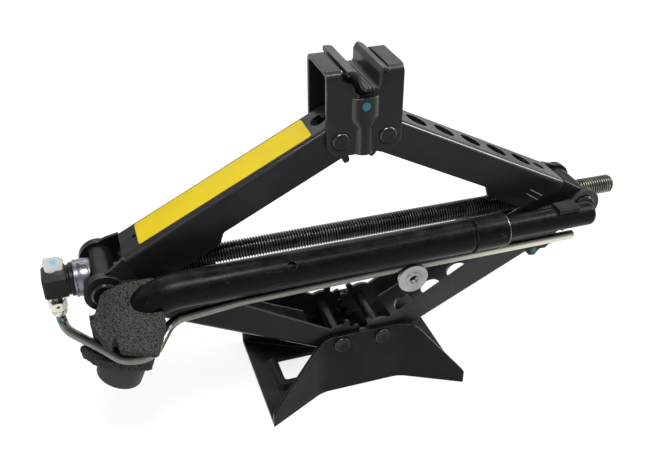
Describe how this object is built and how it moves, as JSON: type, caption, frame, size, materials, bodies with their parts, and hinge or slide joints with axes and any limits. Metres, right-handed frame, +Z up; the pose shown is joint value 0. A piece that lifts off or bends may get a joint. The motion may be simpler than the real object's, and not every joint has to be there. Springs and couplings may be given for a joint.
{
  "type": "scissor jack",
  "caption": "Half-raised scissor jack with meshing arm ends, screw, grooved saddle and waisted foot, its folding crank and telescopic wheel wrench stowed along the side.",
  "frame": {"origin": "on the floor under the middle of the foot", "axes": "+X along the screw towards its free tip, +Y to the rear, +Z up"},
  "size_m": [0.4258, 0.1316, 0.2552],
  "materials": {
    "black_coat": "semi-gloss black dip coat",
    "pivot_steel": "black coated rivet steel",
    "screw_steel": "dark oiled rolled thread",
    "dark_steel": "dark phosphated forging",
    "zinc": "bright zinc plate",
    "bearing_steel": "ground bearing steel",
    "tube_black": "glossy black coat",
    "foam": "charcoal open-cell foam",
    "yellow_sticker": "plain yellow vinyl"
  },
  "bodies": {
    "foot": {"base_plate": "black_coat", "base_pin_left": "pivot_steel", "base_pin_right": "pivot_steel"},
    "lower_left": {"lower_left_arm": "black_coat"},
    "left_carriage": {"left_trunnion": "pivot_steel", "thrust_shell": "zinc", "thrust_race_fixed": "bearing_steel", "wrench_tube": "tube_black", "wrench_socket": "tube_black", "wrench_sleeve": "tube_black", "foam_pad": "foam"},
    "screw": {"lead_screw": "screw_steel", "thrust_race_turning": "bearing_steel", "thrust_balls": "bearing_steel", "thrust_cage": "bearing_steel", "flange_collar": "dark_steel", "retaining_ring": "dark_steel", "drive_block": "dark_steel"},
    "crank": {"crank_rod": "zinc", "crank_collar": "zinc", "crank_cap": "zinc", "crank_eye": "zinc"},
    "wrench_extension": {"wrench_inner_tube": "tube_black", "stow_clip": "tube_black"},
    "upper_left": {"upper_left_arm": "black_coat", "label_sticker": "yellow_sticker"},
    "head": {"head_bracket": "black_coat", "saddle_insert": "black_coat", "head_pin_left": "pivot_steel", "head_pin_right": "pivot_steel"},
    "lower_right": {"lower_right_arm": "black_coat"},
    "right_carriage": {"right_trunnion_nut": "pivot_steel"},
    "upper_right": {"upper_right_arm": "black_coat"}
  },
  "joints": [
    {"name": "lift", "type": "hinge", "parent": "foot", "child": "lower_left", "pos_m": [-0.016, 0, 0.044], "axis": [0, 1, 0], "range_deg": [-12, 31]},
    {"name": "left_knuckle_lower", "type": "hinge", "parent": "lower_left", "child": "left_carriage", "pos_m": [-0.1746, 0, 0.12481], "axis": [0, 1, 0], "range_deg": [-31, 12]},
    {"name": "left_knuckle_upper", "type": "hinge", "parent": "left_carriage", "child": "upper_left", "pos_m": [-0.1746, 0, 0.12481], "axis": [0, 1, 0], "range_deg": [-31, 12]},
    {"name": "head_pivot", "type": "hinge", "parent": "upper_left", "child": "head", "pos_m": [-0.016, 0, 0.20562], "axis": [0, 1, 0], "range_deg": [-12, 31]},
    {"name": "lower_right_pivot", "type": "hinge", "parent": "foot", "child": "lower_right", "pos_m": [0.016, 0, 0.044], "axis": [0, 1, 0], "range_deg": [-31, 12]},
    {"name": "right_knuckle_lower", "type": "hinge", "parent": "lower_right", "child": "right_carriage", "pos_m": [0.1746, 0, 0.12481], "axis": [0, 1, 0], "range_deg": [-12, 31]},
    {"name": "right_knuckle_upper", "type": "hinge", "parent": "right_carriage", "child": "upper_right", "pos_m": [0.1746, 0, 0.12481], "axis": [0, 1, 0], "range_deg": [-12, 31]},
    {"name": "screw_turn", "type": "hinge", "parent": "left_carriage", "child": "screw", "pos_m": [-0.1746, 0, 0.12481], "axis": [1, 0, 0], "range_deg": [-0.8, 0.8]},
    {"name": "crank_swing", "type": "hinge", "parent": "screw", "child": "crank", "pos_m": [-0.2052, 0, 0.12481], "axis": [0, 0, -1], "range_deg": [0, 170]},
    {"name": "wrench_extend", "type": "slide", "parent": "left_carriage", "child": "wrench_extension", "axis": [1, 0, 0], "range_m": [0, 0.12]}
  ],
  "couplings": [
    {"joint": "left_knuckle_lower", "follows": "lift", "ratio": -1},
    {"joint": "left_knuckle_upper", "follows": "lift", "ratio": -1},
    {"joint": "head_pivot", "follows": "lift", "ratio": 1},
    {"joint": "lower_right_pivot", "follows": "lift", "ratio": -1},
    {"joint": "right_knuckle_lower", "follows": "lift", "ratio": 1},
    {"joint": "right_knuckle_upper", "follows": "lift", "ratio": 1}
  ]
}
